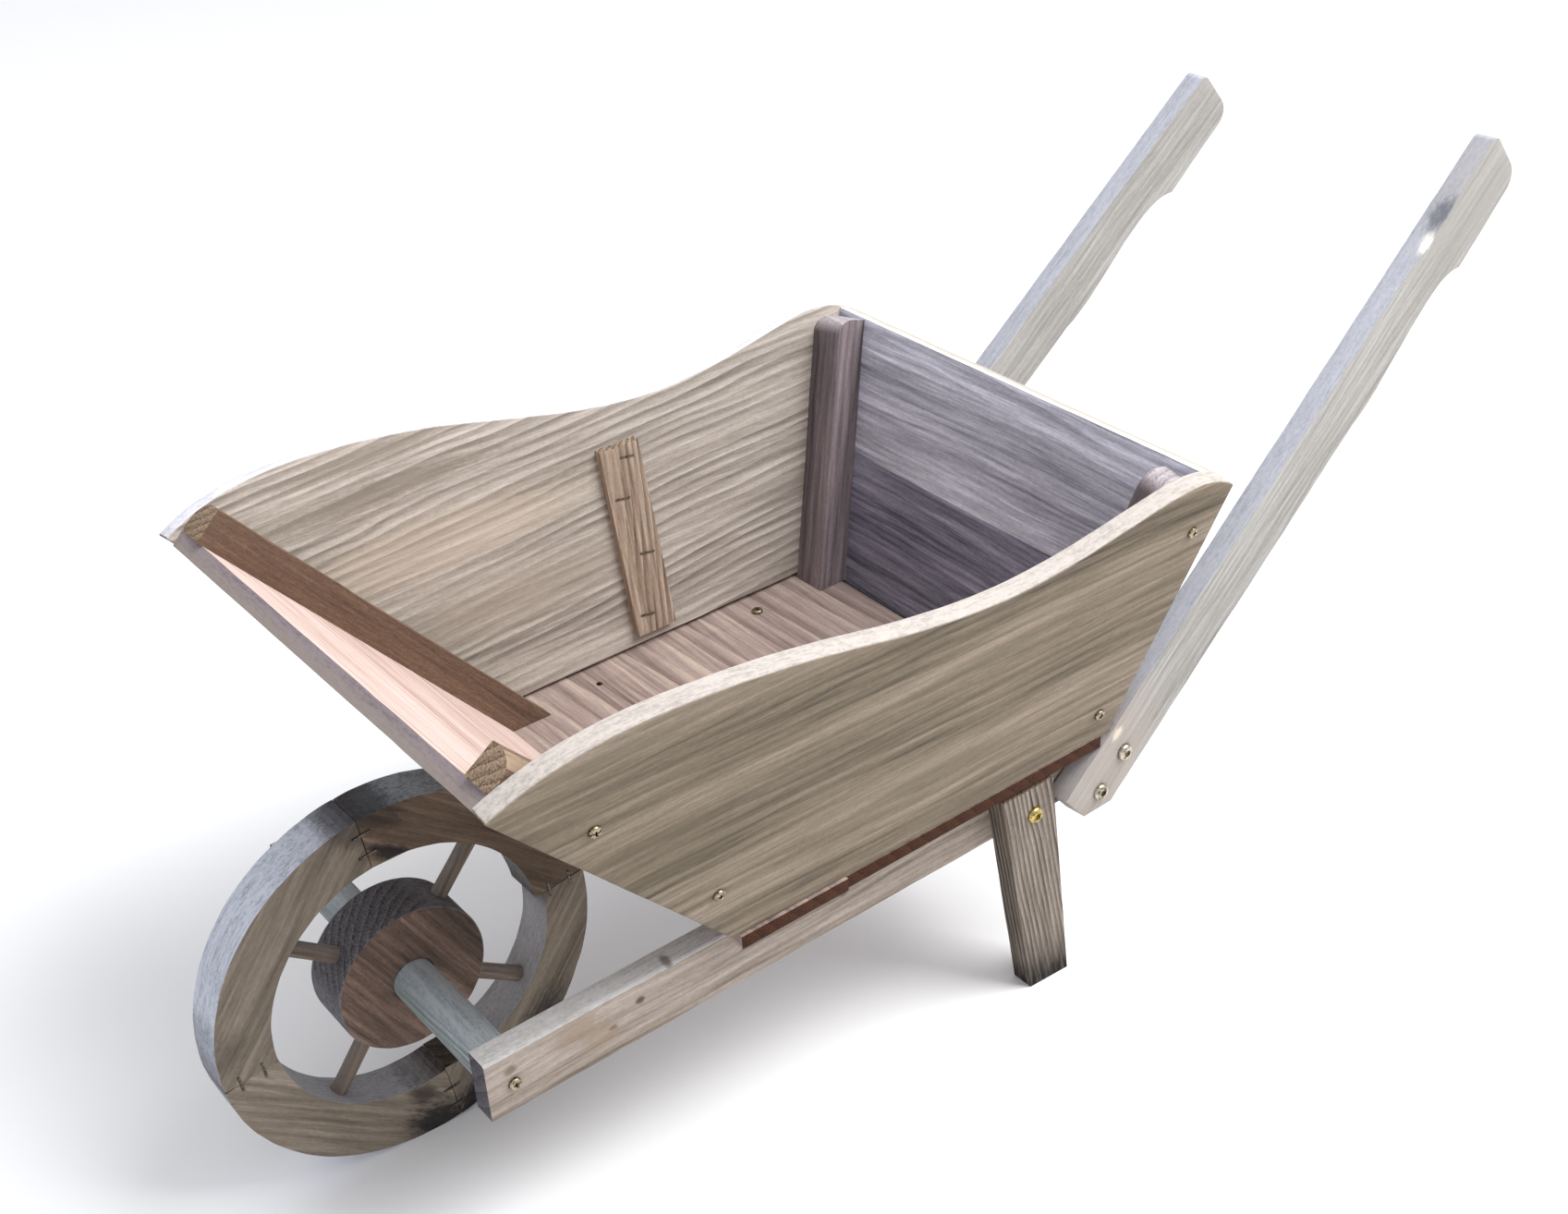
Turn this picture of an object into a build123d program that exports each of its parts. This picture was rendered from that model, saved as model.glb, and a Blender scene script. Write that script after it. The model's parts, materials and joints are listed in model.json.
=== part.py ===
from build123d import *
import math
import os

# A small garden wheelbarrow made of weathered softwood, on one wooden wheel.
# +X is forward, towards the wheel, +Y is the left side and +Z is up. All sizes are millimetres.
# The pieces are drawn level, with the wheel's axis at the origin and X along the rails.
# The whole barrow is then pitched nose down until its wheel and its two feet stand on the ground.

# stance
PITCH = 3.7
ORIGIN_TO_AXLE = 311.5

# wheel
WHEEL_R = 110
RIM_W = 25
FELLOES = 4
HUB_R = 43
HUB_W = 34
HUB_Y = 5.5
HUB_ROUND = 2.5
WHEEL_Y = 7
AXLE_R = 12
HUB_PLAY = 0.6
SPOKE_R = 4.5
SPOKE_FROM_R = 24
SPOKE_TO_R = 98
SPOKE_ANGLES = (38, 131.5, 214.5, 308)
FIRST_JOINT_ANGLE = 83
FELLOE_GAP = 0.4
# each felloe's inner edge is a hand-sawn arc of its own: its radius, and its centre in X and Z
FELLOE_ARCS = ((79.2, 0.3, -0.6), (79, 0, 0), (72.2, -11.5, 0), (74.4, 5, 0))

# rails, legs and handles are all sawn from one thickness of strip, and the under-frame that they
# make with the wheel is fixed a little left of the tray's middle
STRIP_T = 14
UNDER_FRAME_Y = 6
RAIL_OUTER_Y = 122
RAIL_INNER_Y = RAIL_OUTER_Y - STRIP_T
RAIL_TOP = 20
RAIL_BOTTOM = -17
RAIL_FRONT = 15
RAIL_BACK = -424
RAIL_ROUND = 2

# tray
FLOOR_T = 8
FLOOR_TOP = RAIL_TOP + FLOOR_T
FLOOR_FRONT = -131
FLOOR_JOINT = -202
FLOOR_BACK = -392.5
FLOOR_HALF_W = 137.5
REAR_FLOOR_HALF_W = 135.6
BOARD_GAP = 0.4
EMPTY_HOLE_R = 2
EMPTY_HOLE_X = -206.5
FLOOR_SCREW_Y = 118.5
SIDE_T = 12
SIDE_FOOT_Y = 135.4
SIDE_REAR_FOOT_X = -398
SPLAY = math.degrees(math.atan(0.2))
END_T = 10
FRONT_FOOT_X = -127
FRONT_LEAN = 49.5
FRONT_TOP = 193
BACK_FOOT_X = -395
BACK_LEAN = 17.3
BACK_TOP = 188
HANDLE_NOTCH_H = 17.5
HANDLE_NOTCH_Y = RAIL_OUTER_Y - 2.2
SIDE_SEAM = 107
BACK_SEAM = 107
BATTEN_DEPTH = 20
BATTEN_W = 24
# each corner batten: its width, the height of its square-cut top, and how far that top is rounded off
FRONT_LEFT_BATTEN = (18, 202, 12)
FRONT_RIGHT_BATTEN = (BATTEN_W, 202, 15)
REAR_LEFT_BATTEN = (BATTEN_W, 183, 12)
REAR_RIGHT_BATTEN = (BATTEN_W, 187, 10)
CLEAT_X = -261
CLEAT_W = 28
CLEAT_T = 5
CLEAT_FROM = 38
CLEAT_TO = 158

# legs
LEG_TOP_FRONT = -315
LEG_TOP_BACK = -354
LEG_FOOT_FRONT = -339
LEG_FOOT_BACK = -370
LEG_TOP = 18
LEG_BOLT = (-339.6, -1.2)

# handles: drawn lying along U from their square-cut foot, W below the top face, then raised
HANDLE_RISE = 39.15
LEFT_TOE_IN = 2.2
RIGHT_TOE_IN = 1.3
RIGHT_HANDLE_SLIDE = 13
HANDLE_FOOT_U = 279
HANDLE_END_U = 754
HANDLE_TOP_W = -232.4
HANDLE_D = 38
HANDLE_TIP_Z = -22
NECK_U = 652
NECK_D = 33.6
NECK_RUN = 85
GRIP_U = 686
GRIP_D = 42.5
END_R = 5
END_HEEL = 12
END_DROOP = 2.5
HANDLE_BOLTS = ((-412, 7.7), (-391.7, -10.6))

# fasteners
SCREW_HEAD_R = 3.5
SCREW_HEAD_H = 2.2
SCREW_R = 1.75
SCREW_L = 26
SLOT_W = 0.9
SLOT_DEPTH = 1.6
BOLT_HEAD_R = 5.25
BOLT_HEAD_H = 3.3
BOLT_R = 3
BOLT_SOCKET_R = 2.3
SOCKET_DEPTH = 2.2
NUT_R = 5.8
NUT_H = 5
NUT_PLAY = 0.02
WASHER_R = 7
WASHER_T = 1.2
HOLE_PLAY = 0.15
STAPLE_L = 10
STAPLE_WIRE = 1.2
STAPLE_PROUD = 0.5
STAPLE_LEG = 4
STAPLE_PLAY = 0.05

SIDE_SCREWS = ((-39.6, 159.2), (-115, 69.5), (-430, 159.7), (-386, 48.2))
END_SCREW_HEIGHTS = (62, 150)
FLOOR_SCREWS = ((-150, SCREW_HEAD_H), (-328.5, 0), (-384, SCREW_HEAD_H))
CLEAT_STAPLES = (150, 126, 88, 50)
RIM_STAPLES = (88, 101)

REACH = 400
SIDE_LEAN = math.tan(math.radians(SPLAY))
STANDING = (Align.CENTER, Align.CENTER, Align.MIN)
HANGING = (Align.CENTER, Align.CENTER, Align.MAX)


def side_y(z, inset=0):
    """Half width of the tray at height z, on the outer face or `inset` inside it."""
    return SIDE_FOOT_Y + (z - FLOOR_TOP) * SIDE_LEAN - inset / math.cos(math.radians(SPLAY))


def slab(points, half=REACH):
    """An outline in X and Z, drawn out to `half` on both sides of the middle."""
    outline = Plane.XZ * make_face(Polyline(*points, close=True))
    return extrude(outline, amount=half, both=True)


def strip(points, y_from, y_to):
    """An outline in X and Z, from one Y to another."""
    outline = Plane.XZ.offset(-y_from) * make_face(Polyline(*points, close=True))
    return extrude(outline, amount=-(y_to - y_from))


def cross_wedge(inset_outer, inset_inner=None):
    """The space between the sides, or the leaning layer along the left side."""
    low, high = FLOOR_TOP - 60, FLOOR_TOP + 260
    outer = [(side_y(low, inset_outer), low), (side_y(high, inset_outer), high)]
    if inset_inner is None:
        inner = [(-y, z) for y, z in reversed(outer)]
    else:
        inner = [(side_y(high, inset_inner), high), (side_y(low, inset_inner), low)]
    outline = Plane.YZ * make_face(Polyline(*outer, *inner, close=True))
    return extrude(outline, amount=2 * REACH, both=True)


def front_x(z, depth=0):
    """X of the front panel's outer face at height z, or `depth` behind it."""
    lean = math.radians(FRONT_LEAN)
    return FRONT_FOOT_X + (z - FLOOR_TOP) / math.tan(lean) - depth / math.sin(lean)


def back_x(z, depth=0):
    """X of the back panel's inner face at height z, or `depth` behind it."""
    lean = math.radians(BACK_LEAN)
    return BACK_FOOT_X - (z - FLOOR_TOP) * math.tan(lean) - depth / math.cos(lean)


def mirrored(piece, middle=0):
    return mirror(piece, about=Plane.XZ.offset(-middle))


def pan_screw(play=0.0):
    """A cross-head screw along -Z, with its head standing on Z = 0."""
    head = Cylinder(SCREW_HEAD_R + play, SCREW_HEAD_H, align=STANDING)
    shank = Cylinder(SCREW_R + play, SCREW_L + play, align=HANGING)
    if play:
        return head + shank
    head = fillet(head.edges().sort_by(Axis.Z)[-1], SCREW_HEAD_H * 0.6)
    for angle in (0, 90):
        slot = Box(SCREW_HEAD_R, SLOT_W, SLOT_DEPTH, align=HANGING)
        head -= Pos(0, 0, SCREW_HEAD_H) * Rot(0, 0, angle) * slot
    return head + shank


def bolt(length, play=0.0):
    """A button-head bolt along -Z, with its head standing on Z = 0."""
    head = Cylinder(BOLT_HEAD_R + play, BOLT_HEAD_H, align=STANDING)
    shank = Cylinder(BOLT_R + play, length, align=HANGING)
    if play:
        return head + shank
    head = fillet(head.edges().sort_by(Axis.Z)[-1], BOLT_HEAD_H * 0.8)
    socket = extrude(RegularPolygon(BOLT_SOCKET_R, 6), amount=BOLT_HEAD_H)
    return head + shank - Pos(0, 0, BOLT_HEAD_H - SOCKET_DEPTH) * socket


def nut_and_washer(y_face):
    """A washer against the rail's inner face and a nut on it, both on the bolt's axis along Y."""
    washer = Cylinder(WASHER_R, WASHER_T) - Cylinder(BOLT_R + HOLE_PLAY, 2 * WASHER_T)
    nut = extrude(RegularPolygon(NUT_R, 6), amount=NUT_H / 2, both=True)
    nut = nut - Cylinder(BOLT_R + NUT_PLAY, 2 * NUT_H)
    to_y = Rot(90, 0, 0)
    return [
        Pos(0, y_face - WASHER_T / 2, 0) * to_y * washer,
        Pos(0, y_face - WASHER_T - NUT_H / 2, 0) * to_y * nut,
    ]


def staple(play=0.0):
    """A wire staple with its crown along X just above Z = 0 and its legs going down."""
    wire = STAPLE_WIRE + play
    sunk = STAPLE_WIRE - STAPLE_PROUD
    crown = Pos(0, 0, STAPLE_PROUD) * Box(STAPLE_L + play, wire, wire, align=HANGING)
    for end in (-1, 1):
        leg = Box(wire, wire, STAPLE_LEG + play, align=HANGING)
        crown += Pos(end * (STAPLE_L - STAPLE_WIRE) / 2, 0, -sunk / 2) * leg
    return crown


def aim(point, direction, x_dir=None):
    """The place of a fastener: its head at `point`, facing out along `direction`."""
    return Plane(origin=point, z_dir=direction, x_dir=x_dir).location


# ---------------------------------------------------------------- where the fasteners go

out_left = (0, math.cos(math.radians(SPLAY)), -math.sin(math.radians(SPLAY)))
out_front = (math.sin(math.radians(FRONT_LEAN)), 0, -math.cos(math.radians(FRONT_LEAN)))
out_back = (-math.cos(math.radians(BACK_LEAN)), 0, -math.sin(math.radians(BACK_LEAN)))

side_screw_places = [aim((x, side_y(z), z), out_left, (1, 0, 0)) for x, z in SIDE_SCREWS]

front_screw_places = []
back_screw_places = []
for height in END_SCREW_HEIGHTS:
    y = side_y(height, SIDE_T + BATTEN_W * 0.55)
    front_screw_places.append(aim((front_x(height), y, height), out_front, (0, 1, 0)))
    back_screw_places.append(aim((back_x(height, END_T), y, height), out_back, (0, 1, 0)))

floor_screw_places = []
for x, sunk in FLOOR_SCREWS:
    floor_screw_places.append(aim((x, FLOOR_SCREW_Y, FLOOR_TOP - sunk), (0, 0, 1)))
axle_screw_place = aim((0, RAIL_OUTER_Y, 0), (0, 1, 0))
leg_bolt_place = aim((LEG_BOLT[0], RAIL_OUTER_Y + STRIP_T, LEG_BOLT[1]), (0, 1, 0))


def drilled(piece, places, tool):
    for place in places:
        piece = piece - place * tool
    return piece


screw_hole = pan_screw(HOLE_PLAY)
bolt_length = 2 * STRIP_T + WASHER_T + NUT_H + 2


# ---------------------------------------------------------------- wheel

def wheel_spot(angle, radius, y=0.0):
    turn = math.radians(angle)
    return (radius * math.cos(turn), WHEEL_Y + y, radius * math.sin(turn))


def spoke(number, play=0.0):
    rod = Cylinder(SPOKE_R + play, SPOKE_TO_R - SPOKE_FROM_R, align=STANDING)
    angle = SPOKE_ANGLES[number]
    turn = math.radians(angle)
    outward = (math.cos(turn), 0, math.sin(turn))
    return aim(wheel_spot(angle, SPOKE_FROM_R), outward) * rod


def joint_angle(number):
    """Angle of the butt joint after felloe `number`."""
    return FIRST_JOINT_ANGLE + number * 360 / FELLOES


def rim_staples(play=0.0):
    found = []
    for number in range(FELLOES):
        turn = math.radians(joint_angle(number))
        along = (-math.sin(turn), 0, math.cos(turn))
        for radius in RIM_STAPLES:
            for face in (-1, 1):
                spot = wheel_spot(joint_angle(number), radius, face * RIM_W / 2)
                found.append(aim(spot, (0, face, 0), along) * staple(play))
    return found


def felloe(number):
    inner_r, inner_x, inner_z = FELLOE_ARCS[number]
    upright = Rot(90, 0, 0)
    ring = Pos(0, WHEEL_Y, 0) * upright * Cylinder(WHEEL_R, RIM_W)
    ring -= Pos(inner_x, WHEEL_Y, inner_z) * upright * Cylinder(inner_r, 2 * RIM_W)
    middle = math.radians(joint_angle(number) - 180 / FELLOES)
    half = math.radians(180 / FELLOES)
    far = 2 * WHEEL_R
    corners = [(0, 0)]
    for side in (-1, 1):
        corners.append((far * math.cos(middle + side * half), far * math.sin(middle + side * half)))
    back_off = FELLOE_GAP / 2 / math.sin(half)
    quarter = Pos(back_off * math.cos(middle), 0, back_off * math.sin(middle)) * slab(corners, 60)
    piece = ring & quarter
    piece = piece - spoke(number, HOLE_PLAY)
    for wire in rim_staples(STAPLE_PLAY):
        piece = piece - wire
    return piece


def hub():
    body = Cylinder(HUB_R, HUB_W)
    body = fillet(body.edges(), HUB_ROUND)
    body = body - Cylinder(AXLE_R + HUB_PLAY, 2 * HUB_W)
    body = Pos(0, HUB_Y, 0) * Rot(90, 0, 0) * body
    for number in range(FELLOES):
        body = body - spoke(number, HOLE_PLAY)
    return body


def axle():
    rod = Rot(90, 0, 0) * Cylinder(AXLE_R, 2 * (RAIL_INNER_Y - UNDER_FRAME_Y))
    rod = Pos(0, UNDER_FRAME_Y, 0) * rod
    hole = axle_screw_place * screw_hole
    return rod - hole - mirrored(hole, UNDER_FRAME_Y)


# ---------------------------------------------------------------- under-frame

def left_handle_blank(foot_u):
    """The handle's side view: square foot with its tip sawn level, a neck, and a rounded grip."""
    u0, u1 = foot_u, HANDLE_END_U
    w0, d = HANDLE_TOP_W, HANDLE_D
    heel_u, heel_w = u1 - END_HEEL, w0 - GRIP_D + END_DROOP
    edges = [
        Line((u0, w0 - d), (u0, w0)),
        Line((u0, w0), (u1 - END_R, w0)),
        RadiusArc((u1 - END_R, w0), (u1, w0 - END_R), END_R),
        Line((u1, w0 - END_R), (u1, heel_w + END_HEEL + 0.5)),
        RadiusArc((u1, heel_w + END_HEEL + 0.5), (heel_u, heel_w), END_HEEL + 0.5),
        Line((heel_u, heel_w), (GRIP_U, w0 - GRIP_D)),
        Spline((GRIP_U, w0 - GRIP_D), (GRIP_U - 9, w0 - NECK_D - 3.5), (NECK_U, w0 - NECK_D),
               (NECK_U - NECK_RUN / 2, w0 - d + 0.8), (NECK_U - NECK_RUN, w0 - d)),
        Line((NECK_U - NECK_RUN, w0 - d), (u0, w0 - d)),
    ]
    outline = Plane.XZ.offset(-RAIL_OUTER_Y) * make_face(edges)
    blank = extrude(outline, amount=-STRIP_T)
    # U grows rearwards and upwards, so the drawing is turned over about Z before it is raised
    return mirror(blank, about=Plane.YZ)


def left_handle(toe_in, slide=0.0):
    blank = Pos(slide, 0, 0) * left_handle_blank(HANDLE_FOOT_U + slide)
    blank = Rot(0, HANDLE_RISE, 0) * blank
    rise = math.radians(HANDLE_RISE)
    square_up = (math.sin(rise), 0, math.cos(rise))
    hinge = Axis((HANDLE_BOLTS[0][0], RAIL_OUTER_Y, HANDLE_BOLTS[0][1]), square_up)
    piece = blank.rotate(hinge, toe_in)
    below_tip = Box(200, 80, 60, align=HANGING)
    return piece - Pos(HANDLE_BOLTS[1][0], RAIL_OUTER_Y, HANDLE_TIP_Z) * below_tip


def handle_face_y(piece, x, z):
    """Y of the handle's outer face where a bolt's head sits."""
    pin = Pos(x, RAIL_OUTER_Y, z) * Rot(90, 0, 0) * Cylinder(0.5, 120)
    return (piece & pin).bounding_box().max.Y


def left_rail():
    rail = strip(
        [(RAIL_FRONT, RAIL_BOTTOM), (RAIL_FRONT, RAIL_TOP), (RAIL_BACK, RAIL_TOP), (RAIL_BACK, RAIL_BOTTOM)],
        RAIL_INNER_Y, RAIL_OUTER_Y,
    )
    long_edges = rail.edges().filter_by(Axis.X)
    top_outer = long_edges.sort_by(Axis.Z)[-2:].sort_by(Axis.Y)[-1]
    return fillet(top_outer, RAIL_ROUND)


def left_leg():
    pitch = math.radians(PITCH)

    def ground(x):
        return -WHEEL_R / math.cos(pitch) + x * math.tan(pitch)

    leg = strip(
        [
            (LEG_TOP_FRONT, LEG_TOP), (LEG_TOP_BACK, LEG_TOP),
            (LEG_FOOT_BACK, ground(LEG_FOOT_BACK)), (LEG_FOOT_FRONT, ground(LEG_FOOT_FRONT)),
        ],
        RAIL_OUTER_Y, RAIL_OUTER_Y + STRIP_T,
    )
    return leg


# ---------------------------------------------------------------- tray

def side_top_curve():
    """The S-shaped upper edge of a side, from the pointed nose back to the rear corner."""
    return [
        (16.5, 195.5), (-8, 205.5), (-40, 211.5), (-88, 211.3), (-155, 202), (-228, 185.5),
        (-306, 177.2), (-392, 188), (-435, 190.5), (-457.5, 180.5),
    ]


def left_side():
    splay = math.radians(SPLAY)
    plane = Plane(
        origin=(0, SIDE_FOOT_Y, FLOOR_TOP), x_dir=(1, 0, 0), z_dir=(0, -math.cos(splay), math.sin(splay))
    )
    top = [(x, (z - FLOOR_TOP) / math.cos(splay)) for x, z in side_top_curve()]
    nose, corner = top[0], top[-1]
    sunk = -10
    front_slope = (nose[0] - FRONT_FOOT_X) / nose[1]
    rear_slope = (corner[0] - SIDE_REAR_FOOT_X) / corner[1]
    front_foot = (FRONT_FOOT_X + sunk * front_slope, sunk)
    rear_foot = (SIDE_REAR_FOOT_X + sunk * rear_slope, sunk)
    edges = [Line(front_foot, nose), Spline(*top), Line(corner, rear_foot), Line(rear_foot, front_foot)]
    board = extrude(plane * make_face(edges), amount=SIDE_T)
    under = Box(4 * REACH, 4 * REACH, 100, align=HANGING)
    return board - Pos(0, 0, FLOOR_TOP) * under


def halves(board, height):
    """A panel as its two boards, parted along a level line."""
    low = Pos(0, 0, height) * Box(4 * REACH, 4 * REACH, REACH, align=HANGING)
    high = Pos(0, 0, height) * Box(4 * REACH, 4 * REACH, REACH, align=STANDING)
    return board & low, board & high


def front_panel():
    lean = math.radians(FRONT_LEAN)
    top_out = (front_x(FRONT_TOP), FRONT_TOP)
    top_in = (top_out[0] - END_T * math.sin(lean), top_out[1] + END_T * math.cos(lean))
    board = slab([
        (front_x(FLOOR_TOP), FLOOR_TOP), top_out, top_in, (front_x(FLOOR_TOP, END_T), FLOOR_TOP),
    ])
    return board & cross_wedge(SIDE_T)


def back_panel():
    lean = math.radians(BACK_LEAN)
    top_in = (back_x(BACK_TOP), BACK_TOP)
    top_out = (top_in[0] - END_T * math.cos(lean), top_in[1] - END_T * math.sin(lean))
    board = slab([
        (back_x(RAIL_TOP), RAIL_TOP), top_in, top_out, (back_x(RAIL_TOP, END_T), RAIL_TOP),
    ])
    board = board & cross_wedge(SIDE_T)
    notch = Box(60, 40, HANDLE_NOTCH_H, align=(Align.CENTER, Align.MIN, Align.MIN))
    notch = Pos(BACK_FOOT_X, HANDLE_NOTCH_Y, RAIL_TOP) * notch
    return board - notch - mirrored(notch, UNDER_FRAME_Y)


def floor_board(x_front, x_back, half_w):
    board = Box(x_front - x_back, 2 * half_w, FLOOR_T, align=(Align.MAX, Align.CENTER, Align.MAX))
    return Pos(x_front, 0, FLOOR_TOP) * board


def corner_batten(face_x, depths, slope, width, top, end_round):
    """A stick in the left corner between a side and an end panel, cut square and rounded at its top."""
    against, free = depths
    high = top + BATTEN_DEPTH
    band = slab([
        (face_x(FLOOR_TOP, against), FLOOR_TOP), (face_x(high, against), high),
        (face_x(high, free), high), (face_x(FLOOR_TOP, free), FLOOR_TOP),
    ])
    piece = band & cross_wedge(SIDE_T, SIDE_T + width)
    along = Vector(slope, SIDE_LEAN, 1)
    end = Plane(origin=(face_x(top, against), side_y(top, SIDE_T + width), top), z_dir=along)
    piece = piece - end.location * Box(REACH, REACH, REACH, align=STANDING)
    corner = (face_x(top, free), side_y(top, SIDE_T + width / 2), top)
    return fillet(piece.edges().sort_by_distance(corner)[0], end_round)


def front_batten(width, top, end_round):
    slope = 1 / math.tan(math.radians(FRONT_LEAN))
    piece = corner_batten(front_x, (END_T, END_T + BATTEN_DEPTH), slope, width, top, end_round)
    return drilled(piece, side_screw_places + front_screw_places, screw_hole)


def rear_batten(width, top, end_round):
    slope = -math.tan(math.radians(BACK_LEAN))
    piece = corner_batten(back_x, (0, -BATTEN_DEPTH), slope, width, top, end_round)
    return drilled(piece, side_screw_places + back_screw_places, screw_hole)


def left_cleat():
    x0, x1 = CLEAT_X - CLEAT_W / 2, CLEAT_X + CLEAT_W / 2
    band = slab([(x0, CLEAT_FROM), (x1, CLEAT_FROM), (x1, CLEAT_TO), (x0, CLEAT_TO)])
    return band & cross_wedge(SIDE_T, SIDE_T + CLEAT_T)


def cleat_staple_places():
    found = []
    inward = (0, -out_left[1], -out_left[2])
    for number, height in enumerate(CLEAT_STAPLES):
        x = CLEAT_X + (5 if number % 2 else -4)
        found.append(aim((x, side_y(height, SIDE_T + CLEAT_T), height), inward, (1, 0, 0.15)))
    return found


# ---------------------------------------------------------------- the pieces, left side first

parts = {}


def pair(name, left_piece, middle=0):
    parts["left_" + name] = left_piece
    parts["right_" + name] = mirrored(left_piece, middle)


def one_solid(piece):
    """The largest solid of a result, without any sliver that a cut has left."""
    return max(piece.solids(), key=lambda solid: solid.volume)


rail = left_rail()
bolt_hole = bolt(bolt_length + 20, HOLE_PLAY)
shank_hole = Cylinder(BOLT_R + HOLE_PLAY, 200)

floor_front = floor_board(FLOOR_FRONT, FLOOR_JOINT, FLOOR_HALF_W)
floor_rear = floor_board(FLOOR_JOINT - BOARD_GAP, FLOOR_BACK, REAR_FLOOR_HALF_W)


def seated_handle(blank, floor_shift):
    """A handle cut to sit on the rail and the floor's rear edge, and the places of its bolts."""
    places = [aim((x, handle_face_y(blank, x, z), z), (0, 1, 0)) for x, z in HANDLE_BOLTS]
    seated = blank - rail - Pos(BOARD_GAP / 2, floor_shift, 0) * floor_rear
    return one_solid(drilled(seated, places, bolt_hole)), places


handle, handle_bolt_places = seated_handle(left_handle(LEFT_TOE_IN), 0)
right_blank = left_handle(RIGHT_TOE_IN, RIGHT_HANDLE_SLIDE)
right_handle, right_bolt_places = seated_handle(right_blank, 2 * UNDER_FRAME_Y)
rail = drilled(rail, handle_bolt_places + [leg_bolt_place], shank_hole)
rail = drilled(rail, floor_screw_places + [axle_screw_place], screw_hole)
leg = drilled(left_leg(), [leg_bolt_place], bolt_hole)

sides = left_side()
cleat = left_cleat()
for place in cleat_staple_places():
    cleat = cleat - place * staple(STAPLE_PLAY)
sides = drilled(sides, side_screw_places, screw_hole)
side_lower, side_upper = halves(sides, SIDE_SEAM)

front = front_panel()
back = back_panel()
for place in front_screw_places:
    front = front - place * screw_hole - mirrored(place * screw_hole)
for place in back_screw_places:
    back = back - place * screw_hole - mirrored(place * screw_hole)
back_lower, back_upper = halves(back, BACK_SEAM)

floor_holes = [place * screw_hole for place in floor_screw_places]
floor_holes.append(Pos(EMPTY_HOLE_X, FLOOR_SCREW_Y, FLOOR_TOP) * Cylinder(EMPTY_HOLE_R, 4 * FLOOR_T))
for hole in floor_holes:
    for cut in (hole, mirrored(hole, UNDER_FRAME_Y)):
        floor_front = floor_front - cut
        floor_rear = floor_rear - cut

pair("side_lower_board", one_solid(side_lower))
pair("side_upper_board", one_solid(side_upper))
parts["front_panel"] = one_solid(front)
parts["back_lower_board"] = one_solid(back_lower)
parts["back_upper_board"] = one_solid(back_upper)
parts["floor_front_board"] = one_solid(floor_front)
parts["floor_rear_board"] = one_solid(floor_rear)
parts["left_front_batten"] = one_solid(front_batten(*FRONT_LEFT_BATTEN))
parts["right_front_batten"] = mirrored(one_solid(front_batten(*FRONT_RIGHT_BATTEN)))
parts["left_rear_batten"] = one_solid(rear_batten(*REAR_LEFT_BATTEN))
parts["right_rear_batten"] = mirrored(one_solid(rear_batten(*REAR_RIGHT_BATTEN)))
pair("side_cleat", one_solid(cleat))
pair("rail", one_solid(rail), UNDER_FRAME_Y)
pair("leg", one_solid(leg), UNDER_FRAME_Y)
parts["left_handle"] = handle
parts["right_handle"] = mirrored(right_handle, UNDER_FRAME_Y)

parts["axle"] = axle()
parts["hub"] = hub()
for number in range(FELLOES):
    parts[f"felloe_{number + 1}"] = felloe(number)
    parts[f"spoke_{number + 1}"] = spoke(number)


# ---------------------------------------------------------------- fasteners, alike ones together

def both_sides(name, left_pieces, middle=0):
    group = list(left_pieces)
    group += [mirrored(piece, middle) for piece in left_pieces]
    parts[name] = Compound(children=group)


both_sides("side_screws", [place * pan_screw() for place in side_screw_places])
both_sides("end_panel_screws", [place * pan_screw() for place in front_screw_places + back_screw_places])
both_sides("floor_screws", [place * pan_screw() for place in floor_screw_places], UNDER_FRAME_Y)
both_sides("axle_screws", [axle_screw_place * pan_screw()], UNDER_FRAME_Y)
both_sides("leg_bolts", [leg_bolt_place * bolt(bolt_length)], UNDER_FRAME_Y)
handle_bolts = [place * bolt(bolt_length) for place in handle_bolt_places]
for place in right_bolt_places:
    handle_bolts.append(mirrored(place * bolt(bolt_length), UNDER_FRAME_Y))
parts["handle_bolts"] = Compound(children=handle_bolts)

nut_pieces = []
for x, z in (LEG_BOLT,) + HANDLE_BOLTS:
    nut_pieces += [Pos(x, 0, z) * piece for piece in nut_and_washer(RAIL_INNER_Y)]
both_sides("nuts_and_washers", nut_pieces, UNDER_FRAME_Y)
both_sides("cleat_staples", [place * staple() for place in cleat_staple_places()])
parts["rim_staples"] = Compound(children=rim_staples())

# ---------------------------------------------------------------- stand the barrow on the ground

stance = Pos(ORIGIN_TO_AXLE, 0, WHEEL_R) * Rot(0, PITCH, 0)
os.makedirs("parts", exist_ok=True)
for name, piece in parts.items():
    solids = [stance * solid for solid in piece.solids()]
    standing = solids[0] if len(solids) == 1 else Compound(solids)
    export_step(standing, f"parts/{name}.step")
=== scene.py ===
"""A weathered wooden garden wheelbarrow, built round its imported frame."""
import json
import math

import bpy
import numpy as np
from bpy.props import FloatProperty, FloatVectorProperty, IntProperty, PointerProperty
from mathutils import Matrix, Vector, noise


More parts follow.
